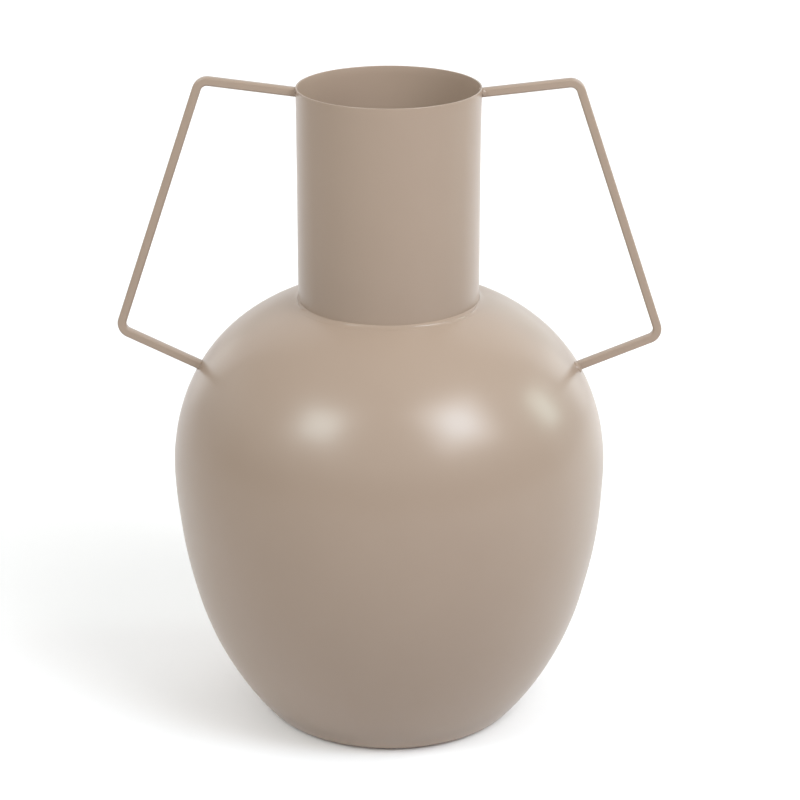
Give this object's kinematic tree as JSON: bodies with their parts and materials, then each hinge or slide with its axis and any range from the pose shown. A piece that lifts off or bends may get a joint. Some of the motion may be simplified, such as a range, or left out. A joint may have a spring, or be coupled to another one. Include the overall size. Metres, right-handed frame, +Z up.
{
  "type": "metal vase",
  "caption": "Powder-coated sheet-metal vase with a round belly, a straight open neck and two slim bent-bar handles; stands on small pads and holds stems.",
  "frame": {"origin": "on the floor under the middle of the base", "axes": "+Z up along the axis of the body and neck, X through both handles, the front faces -Y"},
  "size_m": [0.335, 0.267, 0.4076],
  "materials": {
    "powder_coat": "satin taupe powder coat on sheet steel",
    "bumper_pad": "clear soft polyurethane"
  },
  "bodies": {
    "root": {"lower_bowl": "powder_coat", "shoulder_dome": "powder_coat", "belly_weld": "powder_coat", "neck_tube": "powder_coat", "neck_weld": "powder_coat", "left_handle": "powder_coat", "left_upper_weld": "powder_coat", "left_lower_weld": "powder_coat", "right_handle": "powder_coat", "right_upper_weld": "powder_coat", "right_lower_weld": "powder_coat", "pad_front": "bumper_pad", "pad_right": "bumper_pad", "pad_back": "bumper_pad", "pad_left": "bumper_pad"}
  },
  "joints": []
}
